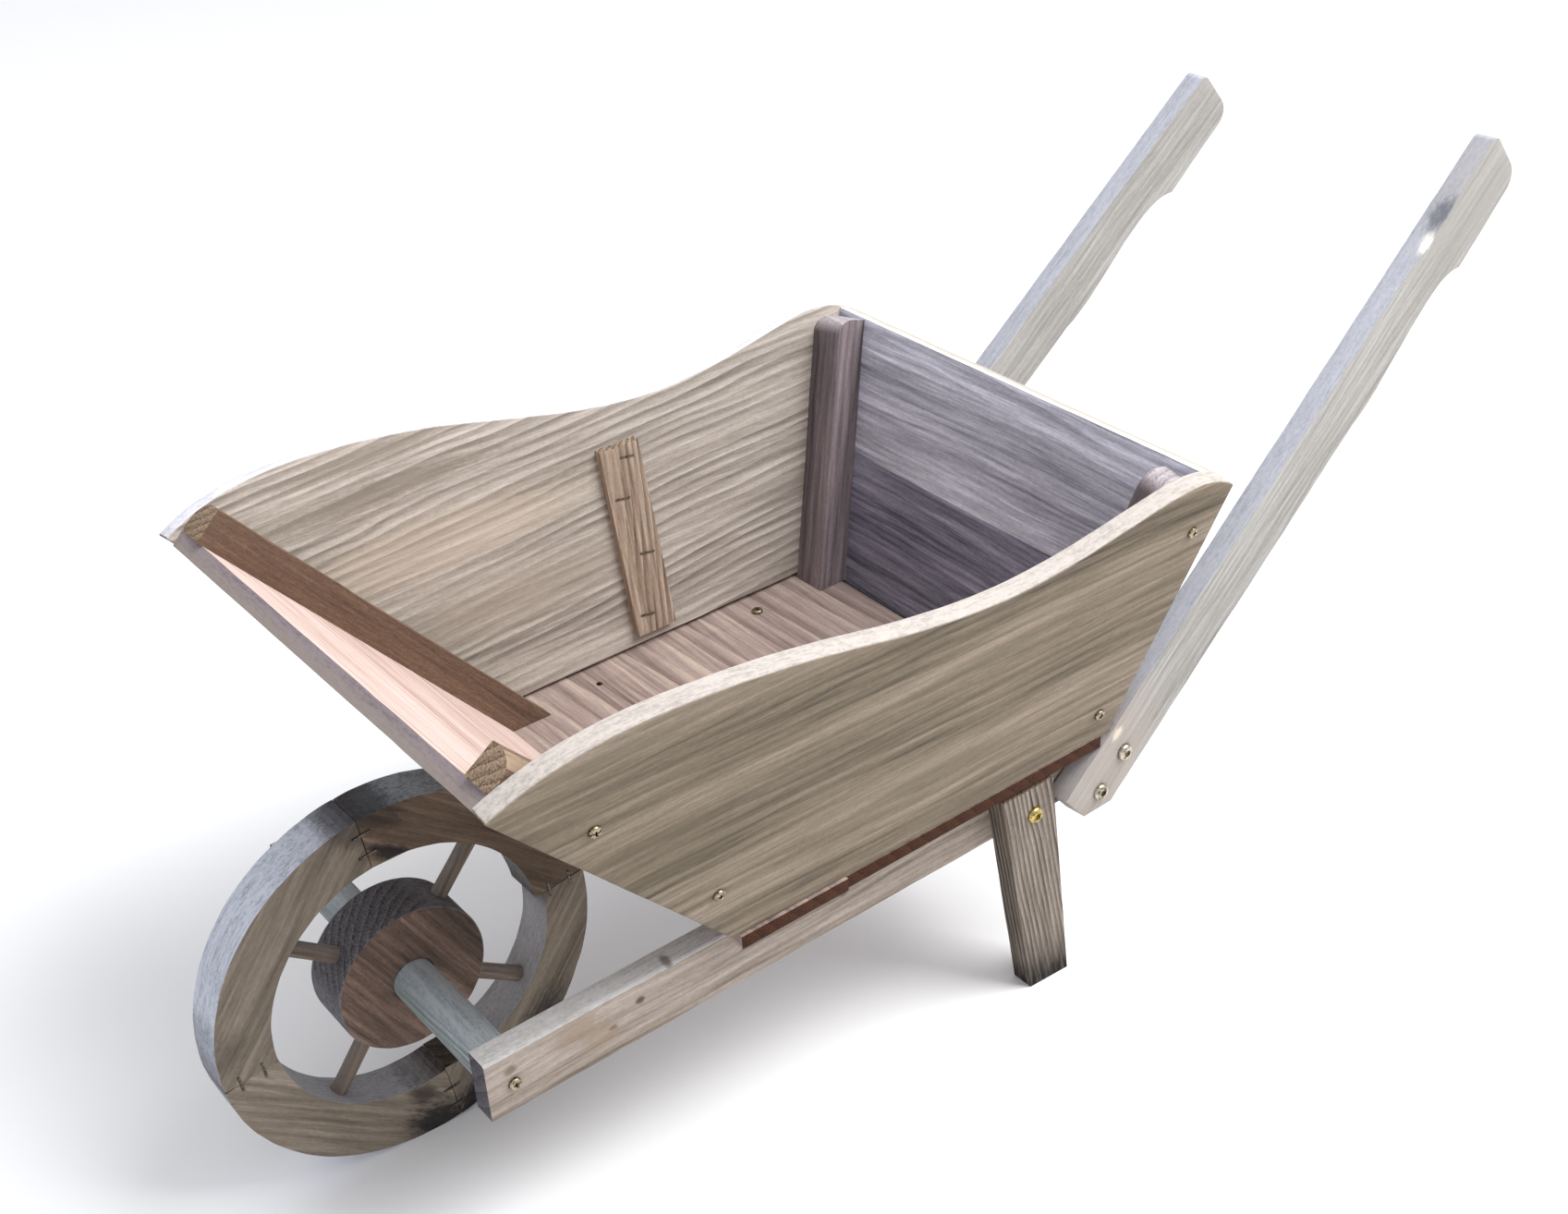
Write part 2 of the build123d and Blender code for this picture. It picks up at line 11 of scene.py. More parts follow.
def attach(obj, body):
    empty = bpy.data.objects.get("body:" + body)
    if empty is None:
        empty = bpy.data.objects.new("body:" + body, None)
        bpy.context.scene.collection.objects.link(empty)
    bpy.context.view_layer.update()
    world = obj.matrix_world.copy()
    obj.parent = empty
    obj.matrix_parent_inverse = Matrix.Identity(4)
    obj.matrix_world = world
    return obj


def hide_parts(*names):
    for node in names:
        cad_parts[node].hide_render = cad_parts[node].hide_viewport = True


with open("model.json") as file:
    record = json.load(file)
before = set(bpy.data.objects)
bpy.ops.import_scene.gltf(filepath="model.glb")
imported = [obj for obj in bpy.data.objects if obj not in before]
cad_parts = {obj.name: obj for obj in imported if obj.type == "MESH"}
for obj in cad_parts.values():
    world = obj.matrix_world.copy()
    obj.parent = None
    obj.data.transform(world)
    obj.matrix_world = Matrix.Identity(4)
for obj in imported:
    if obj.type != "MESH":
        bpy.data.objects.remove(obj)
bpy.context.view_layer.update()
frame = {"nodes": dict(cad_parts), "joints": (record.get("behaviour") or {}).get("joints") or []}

bl_info = {
    "name": "Weathered Garden Wheelbarrow",
    "version": (1, 1, 0),
    "blender": (4, 5, 0),
    "location": "3D View > Sidebar > Wheelbarrow",
    "description": "Builds a small weathered wooden wheelbarrow, piece by piece",
    "category": "Add Mesh",
}

# ---------------------------------------------------------------- where things are

PITCH = math.radians(3.7)
AXLE_AT = Vector(frame["joints"][0]["pos_m"])
# The pieces are described level, in millimetres from the middle of the axle, along the rails and up.
LEVEL = (Matrix.Translation((AXLE_AT.x, 0, AXLE_AT.z)) @ Matrix.Rotation(PITCH, 4, "Y")
         @ Matrix.Scale(0.001, 4))
TO_LEVEL = LEVEL.inverted()
CROSS = Vector((0, 1, 0))

# The side panels lean out by this much for each millimetre of height.
SPLAY = 0.2
PANEL_THICKNESS = 0.012
PANEL_ROWS = 14
PANEL_MIDDLE = (-207, 148, 115)
# Above this level, the points of a side panel's outer face are all on its S-curved top.
CROWN_FROM = 172
FRONT_LEAN = math.radians(49.5)
BACK_LEAN = math.radians(17.3)
SMOOTH_UNDER = math.radians(40)
SHARP_OVER = math.radians(35)

CAMERA_AT = (0.6794, 0.8064, 0.8149)
CAMERA_AROUND = math.radians(141.91)
CAMERA_ABOVE = math.radians(29.63)
LIGHT_AIM = Vector((0, 0, 0.15))
LIGHT_FROM = Vector((-0.38, 0.36, 0.85))
LIGHT_DISTANCE = 2.6


def level_dir(x, y, z):
    """A direction given along the rails, to the left and up, turned into the frame's axes."""
    return (LEVEL.to_3x3() @ Vector((x, y, z))).normalized()


def node_points(node):
    """A CAD node's points, level and in millimetres."""
    return [TO_LEVEL @ v.co for v in frame["nodes"][node].data.vertices]


def node_middle(node):
    """The mean of a CAD node's points, in the frame's metres."""
    points = frame["nodes"][node].data.vertices
    return sum((v.co for v in points), Vector()) / len(points)


# ---------------------------------------------------------------- colours and shader nodes

def tint(code):
    """An sRGB hex colour as linear RGBA."""
    parts = [int(code[i:i + 2], 16) / 255 for i in (1, 3, 5)]
    return [c / 12.92 if c <= 0.04045 else ((c + 0.055) / 1.055) ** 2.4 for c in parts] + [1.0]


def add(tree, kind, *inputs, **settings):
    """Adds one shader node. Its inputs go by place, or by in_NAME, and each is a value, an sRGB hex colour,
    or the node or socket it comes from. Other settings are the node's own, and stops fill a colour ramp."""
    node = tree.nodes.new("ShaderNode" + kind)
    sources = dict(enumerate(inputs))
    for key, value in settings.items():
        if key == "stops":
            band = node.color_ramp
            while len(band.elements) < len(value):
                band.elements.new(0.5)
            for element, (place, code) in zip(band.elements, value):
                element.position = place
                element.color = tint(code)
        elif key.startswith("in_"):
            sources[key[3:].replace("_", " ")] = value
        else:
            setattr(node, key, value)
    for key, value in sources.items():
        if isinstance(value, bpy.types.Node):
            value = value.outputs[0]
        if isinstance(value, bpy.types.NodeSocket):
            tree.links.new(value, node.inputs[key])
        elif value is not None:
            node.inputs[key].default_value = tint(value) if isinstance(value, str) else value
    return node


def new_material(name):
    """An empty material and its node tree."""
    made = bpy.data.materials.new(name)
    made.use_nodes = True
    made.node_tree.nodes.clear()
    return made, made.node_tree


# ---------------------------------------------------------------- wood

# A wave texture at scale 1 has a ring every 0.314, so this over a ring's millimetres is its scale.
WAVE_SCALE = 314
# the colour of damp earth, used also for the painted shade on the legs' front faces
DAMP_EARTH_AND_SHADE = "#15110e"


def timber(name, light, body, dark, bleach_and_light, bleach_and_light_dark, end_dark, end_light, ring_mm, rings, bands, streaks,
           fibre, rough_sawn=0.0, relief=0.5, pith=(0.031, 0.055), marks=()):
    """Softwood left outdoors, dull and open-grained. `light`, `body` and `dark` are its tones along the
    grain, the two pale colours are what the weather has turned together with painted light on what faces up,
    and the end colours are its sawn ends.
    Each mark is its place in the timber, its sizes in millimetres, its colour and its strength."""
    made, tree = new_material(name)

    def put(kind, *inputs, **settings):
        return add(tree, kind, *inputs, **settings)

    lay = put("Attribute", attribute_name="grain").outputs["Vector"]
    wear = put("SeparateXYZ", put("Attribute", attribute_name="wear").outputs["Vector"]).outputs

    # the grain wanders a few millimetres over a hand's length
    slow_place = put("Mapping", lay, in_Scale=(6, 24, 24))
    slow = put("TexNoise", slow_place, in_Scale=1.0, in_Detail=2.0).outputs["Color"]
    wandering = put("VectorMath", slow, (0.0, 0.009, 0.009), lay, operation="MULTIPLY_ADD")

    def grainy(along, across, detail, rough):
        """Figure drawn out along the grain: the length and width of its features in millimetres."""
        place = put("Mapping", wandering, in_Scale=(1000 / along, 1000 / across, 1000 / across))
        return put("TexNoise", place, in_Scale=1.0, in_Detail=detail, in_Roughness=rough)

    # year rings are tubes about the pith, which lies a little askew to the piece
    ring_place = put("Mapping", wandering, in_Scale=(0.2, 1, 1), in_Rotation=(0, 0.2, 0.18),
                     in_Location=(0, *pith))
    ring = put("TexWave", ring_place, wave_type="RINGS", rings_direction="X", wave_profile="SAW",
               in_Scale=WAVE_SCALE / ring_mm, in_Distortion=1.6, in_Detail=3.0, in_Detail_Scale=0.8,
               in_Detail_Roughness=0.5).outputs["Fac"]
    clear = put("MapRange", grainy(260, 18, 2.0, 0.5), 0.35, 0.65, 0.15, 1.0)
    soft_ring = put("MapRange", ring, 0.0, 1.0, -0.5, 0.5, interpolation_type="SMOOTHERSTEP")
    soft_ring = put("Math", soft_ring, clear, operation="MULTIPLY")
    band = put("MapRange", grainy(420, 22, 3.0, 0.5), 0.3, 0.7, -0.5, 0.5, clamp=False)
    streak = put("MapRange", grainy(95, 3.2, 4.0, 0.62), 0.3, 0.7, -0.5, 0.5, clamp=False)
    tone = put("Math", soft_ring, rings, 0.45, operation="MULTIPLY_ADD")
    tone = put("Math", band, bands, tone, operation="MULTIPLY_ADD")
    tone = put("Math", streak, streaks, tone, operation="MULTIPLY_ADD", use_clamp=True)
    wood = put("ValToRGB", tone, stops=((0.0, light), (0.45, body), (1.0, dark)))

    # Fibres and the felt that the weather raises on them. Real ones are about 0.05 mm wide, too fine to
    # show, so they are drawn in bundles of 1 to 2 mm.
    fine = grainy(14, 1.3, 4.0, 0.8)
    felt = grainy(3.2, 1.6, 4.0, 0.8)
    both = put("Math", fine, felt, operation="ADD")
    grit = put("MapRange", both, 0.6, 1.4, 1 - fibre, 1 + fibre, clamp=False)
    wood = put("MixRGB", 1.0, wood, grit, blend_type="MULTIPLY")

    # what the weather has bleached, together with painted light on what faces up (bluish painted sky light on
    # the handles and the rim's tread), broken up along the fibres
    pale_breakup = put("Math", streak, 0.35, put("Math", both, -0.3, operation="ADD"), operation="MULTIPLY_ADD")
    pale = put("ValToRGB", pale_breakup, stops=((0.2, bleach_and_light_dark), (0.8, bleach_and_light)))
    wood = put("MixRGB", wear[1], wood, pale)

    # sawn ends: open pores and the year rings across them
    pores = put("TexNoise", lay, in_Scale=900.0, in_Detail=4.0, in_Roughness=0.75)
    across_end = put("Math", ring, -0.16, pores, operation="MULTIPLY_ADD")
    sawn = put("ValToRGB", across_end, stops=((0.25, end_dark), (0.58, end_light)))
    wood = put("MixRGB", wear[0], wood, sawn)

    # knots, damp and rubbed spots, with ragged edges
    if marks:
        ragged = put("TexNoise", put("Mapping", lay, in_Scale=(160, 420, 420)), in_Scale=1.0, in_Detail=4.0,
                     in_Roughness=0.7)
    for place, sizes, colour, strength in marks:
        zoom = Vector([1000 / size for size in sizes])
        spot = put("Mapping", lay, in_Scale=zoom, in_Location=[-p * z for p, z in zip(place, zoom)])
        reach = put("VectorMath", spot, operation="LENGTH").outputs["Value"]
        frayed = put("Math", ragged, 1.1, reach, operation="MULTIPLY_ADD")
        amount = put("MapRange", frayed, 1.75, 1.0, 0.0, strength, interpolation_type="SMOOTHSTEP")
        wood = put("MixRGB", amount, wood, colour)

    # damp earth where the piece has stood in it, and painted shade, in the same dark colour, on the legs'
    # front faces
    damp_and_shade = put("Math", wear[2], grainy(30, 4, 3.0, 0.6), 1.9, operation="MULTIPLY")
    damp_and_shade = put("Math", damp_and_shade, 1.9, operation="MULTIPLY", use_clamp=True)
    wood = put("MixRGB", damp_and_shade, wood, DAMP_EARTH_AND_SHADE)

    # the softer wood wears away between the fibres and the rings, so light grazing it shows a fine nap
    height = put("Math", fine, 0.9 * relief, operation="MULTIPLY")
    height = put("Math", soft_ring, 0.35 * rings * relief, height, operation="MULTIPLY_ADD")
    height = put("Math", felt, 0.5 * relief + rough_sawn, height, operation="MULTIPLY_ADD")
    bump = put("Bump", in_Height=height, in_Strength=0.6, in_Distance=0.0008)
    shader = put("BsdfPrincipled", wood, in_Normal=bump, in_Roughness=0.84, in_Specular_IOR_Level=0.22)
    put("OutputMaterial", shader)
    return made


def metal(name, colour, tarnish, roughness, spots):
    """Plated or bare steel with handling marks; `spots` is the size of the tarnish in millimetres."""
    made, tree = new_material(name)
    where = add(tree, "TexCoord").outputs["Object"]
    blot = add(tree, "TexNoise", where, in_Scale=1000 / spots, in_Detail=3.0, in_Roughness=0.6)
    plating = add(tree, "ValToRGB", blot, stops=((0.36, tarnish), (0.56, colour)))
    rough = add(tree, "MapRange", blot, 0.3, 0.7, roughness + 0.16, roughness - 0.04)
    bump = add(tree, "Bump", in_Height=blot, in_Strength=0.15, in_Distance=0.0002)
    shader = add(tree, "BsdfPrincipled", plating, in_Roughness=rough, in_Normal=bump, in_Metallic=1.0)
    add(tree, "OutputMaterial", shader)
    return made


# Each wood: its tones, what the weather and painted light make of it, its sawn ends, and how strong its
# figure is.
# All of it is sawn fir or a fir dowel, so it looks dry and matt, with stripes that follow each piece.
WOODS = {
    # rained on, so soft olive-grey bands; the silver top edge is weathering together with painted light on
    # what faces up
    "olive_grey_outer_fir": dict(
        light="#928476", body="#786c5c", dark="#4d443a", bleach_and_light="#bfb7b0", bleach_and_light_dark="#857d76",
        end_dark="#4a4036", end_light="#8d7f6c", ring_mm=8, rings=0.3, bands=0.6, streaks=0.55, fibre=0.27),
    # sheltered, so still tan, with crisp light ring lines
    "tan_inner_fir": dict(
        light="#c7beb5", body="#a49a90", dark="#6f6860", bleach_and_light="#e1e0e9", bleach_and_light_dark="#a09c9f",
        end_dark="#4a4036", end_light="#8d7f6c", ring_mm=5, rings=0.6, bands=0.45, streaks=0.5, fibre=0.24,
        pith=(0.06, 0.022)),
    # stained purple-grey by standing water, with a white rim
    "purple_grey_fir": dict(
        light="#dcdcea", body="#adacb8", dark="#696873", bleach_and_light="#f3f1e3", bleach_and_light_dark="#f3f1de",
        end_dark="#3d3638", end_light="#857b7c", ring_mm=9, rings=0.25, bands=0.45, streaks=0.7, fibre=0.3),
    # the same, darker: painted shade for the lower board, which stands in the corner by the floor
    "shaded_purple_grey_fir": dict(
        light="#9e9aab", body="#7a7785", dark="#464651", bleach_and_light="#8d8689", bleach_and_light_dark="#5d575a",
        end_dark="#3d3638", end_light="#857b7c", ring_mm=9, rings=0.25, bands=0.5, streaks=0.8, fibre=0.36),
    # warm pink-brown under the load, and red-brown at its ends
    "pink_brown_floor_fir": dict(
        light="#b1a093", body="#94827b", dark="#625049", bleach_and_light="#b8a498", bleach_and_light_dark="#8b7264",
        end_dark="#281308", end_light="#4a2a18", ring_mm=9, rings=0.5, bands=0.35, streaks=0.6, fibre=0.2),
    # the freshest board, cream-pink inside with a lilac-grey edge
    "cream_front_fir": dict(
        light="#ddcbc4", body="#cfb6ac", dark="#9f7f70", bleach_and_light="#8e8285", bleach_and_light_dark="#5d5256",
        end_dark="#5c5050", end_light="#93898a", ring_mm=6, rings=0.4, bands=0.3, streaks=0.6, fibre=0.14),
    # off the saw: fuzzy mid-brown with torn, paler arrises
    "rough_sawn_brown_fir": dict(
        light="#7f6655", body="#6b5445", dark="#40322a", bleach_and_light="#ab947e", bleach_and_light_dark="#7b624c",
        end_dark="#46362b", end_light="#b0967d", ring_mm=5, rings=0.15, bands=0.3, streaks=0.35, fibre=0.4,
        rough_sawn=0.8, relief=0.9),
    # planed battens gone lilac-grey
    "lilac_grey_fir": dict(
        light="#95878a", body="#756a6d", dark="#453f40", bleach_and_light="#a3989a", bleach_and_light_dark="#6e6466",
        end_dark="#7c7478", end_light="#c2babd", ring_mm=6, rings=0.3, bands=0.5, streaks=0.6, fibre=0.28),
    # thin strips with close, dark year rings
    "striped_cleat_fir": dict(
        light="#b9a796", body="#94806f", dark="#58493d", bleach_and_light="#cabdaf", bleach_and_light_dark="#8d7963",
        end_dark="#2c2018", end_light="#b09a86", ring_mm=3.4, rings=0.7, bands=0.3, streaks=0.65, fibre=0.3),
    # smooth rails, pinkish grey; the silver along the top is weathering together with painted light on what
    # faces up
    "pinkish_grey_fir": dict(
        light="#a89c93", body="#8f8378", dark="#5d5248", bleach_and_light="#cccccb", bleach_and_light_dark="#8b898a",
        end_dark="#323035", end_light="#5d595f", ring_mm=8, rings=0.3, bands=0.6, streaks=0.65, fibre=0.28),
    # quarter-sawn legs, ribbed where the soft wood has worn away
    "ribbed_grey_brown_fir": dict(
        light="#968b82", body="#74695e", dark="#382f28", bleach_and_light="#b1a695", bleach_and_light_dark="#7c7161",
        end_dark="#241d18", end_light="#8f7b66", ring_mm=2.4, rings=0.95, bands=0.25, streaks=0.5, fibre=0.3,
        pith=(0.2, 0.01), relief=1.0),
    # handles silvered by sun and hands; the blue tint where they face up is painted sky light
    "silver_grey_fir": dict(
        light="#b4b1ad", body="#9b9893", dark="#726d69", bleach_and_light="#b4b7c2", bleach_and_light_dark="#7d8390",
        end_dark="#8b8784", end_light="#c6c2be", ring_mm=3.4, rings=0.2, bands=0.3, streaks=0.5, fibre=0.2),
    # rim blocks with a blotchy face and a grey tread whose blue tint is painted sky light
    "brown_grey_rim_fir": dict(
        light="#9f9185", body="#7b7063", dark="#473f37", bleach_and_light="#b9bdc8", bleach_and_light_dark="#6a6c73",
        end_dark="#1c1714", end_light="#574b42", ring_mm=6, rings=0.14, bands=0.5, streaks=0.45, fibre=0.3),
    # the rim block with a blackened tread
    "stained_rim_fir": dict(
        light="#806e5c", body="#5f4f41", dark="#30271f", bleach_and_light="#929aa0", bleach_and_light_dark="#2e3034",
        end_dark="#1c1714", end_light="#574b42", ring_mm=6, rings=0.14, bands=0.5, streaks=0.5, fibre=0.3),
    # end-lit, coarse and nearly black round its edge
    "dark_hub_fir": dict(
        light="#866d61", body="#604f45", dark="#2f2521", bleach_and_light="#747176", bleach_and_light_dark="#29272c",
        end_dark="#262427", end_light="#726e71", ring_mm=5, rings=0.06, bands=0.5, streaks=0.7, fibre=0.45,
        rough_sawn=0.6, relief=0.9),
    # a dowel with algae in its long dark lines
    "green_grey_dowel": dict(
        light="#a2aaac", body="#7c8383", dark="#404341", bleach_and_light="#a6adb1", bleach_and_light_dark="#717779",
        end_dark="#4a4a46", end_light="#8a8a86", ring_mm=3.2, rings=0.9, bands=0.2, streaks=0.5, fibre=0.28),
    # thin dowels, smooth and grey-brown
    "grey_brown_dowel": dict(
        light="#897b6f", body="#6b5f55", dark="#473b34", bleach_and_light="#b0aaa6", bleach_and_light_dark="#7c7570",
        end_dark="#4a4038", end_light="#857a70", ring_mm=3, rings=0.35, bands=0.2, streaks=0.5, fibre=0.18),
}
# Each metal: its colour, its tarnish, its roughness and the size of its spots in millimetres.
METALS = {
    # satin plating gone brown in the recesses, with small sharp glints
    "antique_plated_steel": ("#a89c84", "#2f2922", 0.3, 1.6),
    # yellow zinc keeps a brassy gleam
    "yellow_zinc_steel": ("#c6b272", "#6f5c30", 0.28, 2.4),
    # warm grey and fairly bright
    "nickel_plated_steel": ("#c4bba9", "#5b5041", 0.26, 2.4),
    # drawn wire, dull from rust
    "dark_iron_wire": ("#6b645d", "#2a2523", 0.45, 1.5),
    "rusty_steel_wire": ("#9a8b7b", "#54463a", 0.5, 1.5),
}
FINISHES = {}


def finish(kind, piece="", marks=()):
    """A finish by name, made once, or once for each piece that carries marks of its own."""
    name = f"{kind}_{piece}" if marks else kind
    if name not in FINISHES:
        if kind in WOODS:
            FINISHES[name] = timber(name, marks=marks, **WOODS[kind])
        else:
            FINISHES[name] = metal(name, *METALS[kind])
    return FINISHES[name]


# ---------------------------------------------------------------- modelling helpers

def only(piece):
    """Selects one piece and nothing else."""
    bpy.ops.object.select_all(action="DESELECT")
    piece.select_set(True)
    bpy.context.view_layer.objects.active = piece


def start_from(node, name):
    """A new piece that starts as a copy of a CAD node's solid, with its loose triangles merged."""
    piece = bpy.data.objects.new(name, frame["nodes"][node].data.copy())
    piece.data.name = name
    piece.data.materials.clear()
    bpy.context.scene.collection.objects.link(piece)
    only(piece)
    bpy.ops.object.mode_set(mode="EDIT")
    bpy.ops.mesh.select_all(action="SELECT")
    bpy.ops.mesh.remove_doubles(threshold=0.00002)
    bpy.ops.mesh.dissolve_limited(angle_limit=math.radians(0.8))
    bpy.ops.object.mode_set(mode="OBJECT")
    if piece.data.has_custom_normals:
        bpy.ops.mesh.customdata_custom_splitnormals_clear()
    for layer in list(piece.data.uv_layers):
        piece.data.uv_layers.remove(layer)
    return piece


def axes_of(piece):
    """A stick's own length, width and thickness directions, from the spread of its points."""
    points = np.array([v.co for v in piece.data.vertices])
    spread = points - points.mean(0)
    values, vectors = np.linalg.eigh(spread.T @ spread)
    axes = []
    for column in (2, 1, 0):
        axis = Vector(vectors[:, column])
        largest = max(axis, key=abs)
        axes.append(axis if largest > 0 else -axis)
    return axes


def cut_across(piece, along, step_mm):
    """Cuts a piece into short lengths, so that its arrises can wander."""
    heights = [v.co.dot(along) for v in piece.data.vertices]
    low, high = min(heights), max(heights)
    count = int((high - low) * 1000 / step_mm)
    only(piece)
    bpy.ops.object.mode_set(mode="EDIT")
    for number in range(1, count):
        bpy.ops.mesh.select_all(action="SELECT")
        at = along * (low + (high - low) * number / count)
        bpy.ops.mesh.bisect(plane_co=at, plane_no=along, threshold=0.0001)
    bpy.ops.object.mode_set(mode="OBJECT")


def round_arrises(piece, width_mm):
    """Rubs the sharp edges off."""
    only(piece)
    bpy.ops.object.mode_set(mode="EDIT")
    bpy.ops.mesh.select_mode(type="EDGE")
    bpy.ops.mesh.select_all(action="DESELECT")
    bpy.ops.mesh.edges_select_sharp(sharpness=SHARP_OVER)
    bpy.ops.mesh.bevel(offset=width_mm / 1000, segments=3, profile=0.5, clamp_overlap=True)
    bpy.ops.mesh.select_mode(type="VERT")
    bpy.ops.object.mode_set(mode="OBJECT")


def wander(piece, amount_mm, seed):
    """Moves the surface gently in and out, as hand-sawn wood does, but never into the ground."""
    noise.seed_set(seed)
    shift = Vector((seed * 3.1, seed * 1.7, seed * 2.3))
    for vertex in piece.data.vertices:
        slow = noise.noise_vector(vertex.co * 28 + shift)
        quick = noise.noise_vector(vertex.co * 130 + shift)
        vertex.co += (slow * 0.7 + quick * 0.45) * amount_mm / 1000
        vertex.co.z = max(vertex.co.z, 0.0)


class Timber:
    """How a piece was cut from its tree: the directions along, across and through the grain, and where."""

    def __init__(self, axes, middle, seed):
        self.axes = axes
        self.middle = middle
        self.offset = Vector((seed * 1.37, seed * 0.0173 % 0.05 - 0.025, seed * 0.0291 % 0.06))

    def place(self, where):
        """Where a point of the frame lies in the timber."""
        from_middle = where - self.middle
        return Vector([from_middle.dot(axis) for axis in self.axes]) + self.offset

    def marks(self, listed):
        """Marks given as (level place, sizes, colour, strength), turned into the timber's own places."""
        return [(self.place(LEVEL @ Vector(spot)), sizes, colour, strength)
                for spot, sizes, colour, strength in listed]


def skyward(amount):
    """Bleaching of what faces up, by the sun and the rain, together with painted light: what faces up is made
    paler, as light from above would make it.
    """
    def judge(where, normal):
        return min(1.0, max(0.0, (normal.z - 0.3) * 1.8)) * amount
    return judge


def top_edge(direction):
    """Bleaching of the one edge that faces a direction."""
    def judge(where, normal):
        return 1.0 if normal.dot(direction) > 0.6 else 0.0
    return judge


def sheltered(where, normal):
    """No bleaching at all."""
    return 0.0


def weathered_outside(node, outward, colour):
    """A mark that greys a board's outer face, and reaches three quarters of the way through it."""
    skin = TO_LEVEL @ (node_middle(node) + outward * PANEL_THICKNESS / 2)
    return ((skin, (500, 300, 9), colour, 0.78),)


def lay_grain(piece, log, bleach_and_light, stain_and_shade=None, rubbed=0.0):
    """Stores each point's place in the timber, and how far each face is sawn across, made pale and made dark.
    Pale is bleaching, with painted light on what faces up; dark is damp and stains, with painted shade on the
    legs' front faces. The arrises are bleached by at least `rubbed`."""
    mesh = piece.data
    grain = mesh.attributes.new("grain", "FLOAT_VECTOR", "POINT")
    for vertex, item in zip(mesh.vertices, grain.data):
        item.vector = log.place(vertex.co)
    wear = mesh.attributes.new("wear", "FLOAT_VECTOR", "CORNER")
    for face in mesh.polygons:
        end = min(1.0, max(0.0, (abs(face.normal.dot(log.axes[0])) - 0.55) * 5))
        pale = bleach_and_light(TO_LEVEL @ face.center, face.normal)
        if max(abs(face.normal.dot(axis)) for axis in log.axes) < 0.93:
            pale = max(pale, rubbed)
        for corner in face.loop_indices:
            where = mesh.vertices[mesh.loops[corner].vertex_index].co
            damp_and_shade = stain_and_shade(TO_LEVEL @ where, face.normal) if stain_and_shade else 0.0
            wear.data[corner].vector = (end, pale, damp_and_shade)


def finish_piece(piece, made, body, slot, *nodes):
    """Gives a piece its finish and its shading, and says what it rides on and which nodes it replaces."""
    only(piece)
    piece.data.materials.append(made)
    bpy.ops.object.shade_smooth_by_angle(angle=SMOOTH_UNDER)
    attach(piece, body)
    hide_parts(*nodes)


def saw_teeth(piece, log, pitch_mm, depth_mm, seed):
    """Roughens the upper sawn end with the tears that a coarse blade leaves across the piece."""
    along, across = log.axes[:2]
    widths = [v.co.dot(across) for v in piece.data.vertices]
    top, low, high = max(v.co.dot(along) for v in piece.data.vertices), min(widths), max(widths)
    half_teeth_per_metre = 2000 / pitch_mm
    only(piece)
    bpy.ops.object.mode_set(mode="EDIT")
    for number in range(1, int((high - low) * half_teeth_per_metre)):
        bpy.ops.mesh.select_all(action="SELECT")
        at = across * (low + number / half_teeth_per_metre)
        bpy.ops.mesh.bisect(plane_co=at, plane_no=across, threshold=0.0001)
    bpy.ops.object.mode_set(mode="OBJECT")
    for vertex in piece.data.vertices:
        step = round((vertex.co.dot(across) - low) * half_teeth_per_metre)
        if vertex.co.dot(along) > top - 0.0022 and step % 2:
            uneven = 0.6 + 0.4 * math.sin(step * 2.3 + seed)
            vertex.co -= along * depth_mm / 1000 * uneven


def worn_stick(node, kind, slot, arris, seed, step=9, amount=0.3, axes=None, body="barrow",
               bleach_and_light=skyward(1.0), stain_and_shade=None, marks=(), teeth=None, rubbed=0.0):
    """A CAD stick or board with rubbed arrises, its own grain and its own finish. `arris`, `step` and
    `amount` are in millimetres, and `teeth` is the pitch and depth of a torn upper end."""
    piece = start_from(node, "worn_" + node)
    log = Timber(axes or axes_of(piece), node_middle(node), seed)
    cut_across(piece, log.axes[0], step)
    if teeth:
        saw_teeth(piece, log, *teeth, seed)
    round_arrises(piece, arris)
    lay_grain(piece, log, bleach_and_light, stain_and_shade, rubbed)
    wander(piece, amount, seed)
    finish_piece(piece, finish(kind, node, log.marks(marks)), body, slot, node)


# ---------------------------------------------------------------- sizes a user may change

class BarrowSettings(bpy.types.PropertyGroup):
    arris: FloatProperty(name="Arris", description="How far the main wooden arrises are rubbed off",
                         default=0.0011, min=0.0002, max=0.003, precision=4, unit="LENGTH")
    grid_along: IntProperty(name="Panel columns", description="How finely a side panel is divided",
                            default=72, min=20, max=200)
    weathered: FloatVectorProperty(name="Weathered grey", description="Outer faces of the end boards",
                                   default=tint("#9c9087"), size=4, min=0, max=1, subtype="COLOR")
    # the black of the rim's stains, and of the painted shade along the bottom of the wheel
    damp_black: FloatVectorProperty(name="Damp black", description="Stains in the wheel's rim",
                                    default=tint("#16141a"), size=4, min=0, max=1, subtype="COLOR")
    lens: FloatProperty(name="Lens", description="The camera's focal length", default=47.30, unit="CAMERA")


# ---------------------------------------------------------------- the pieces

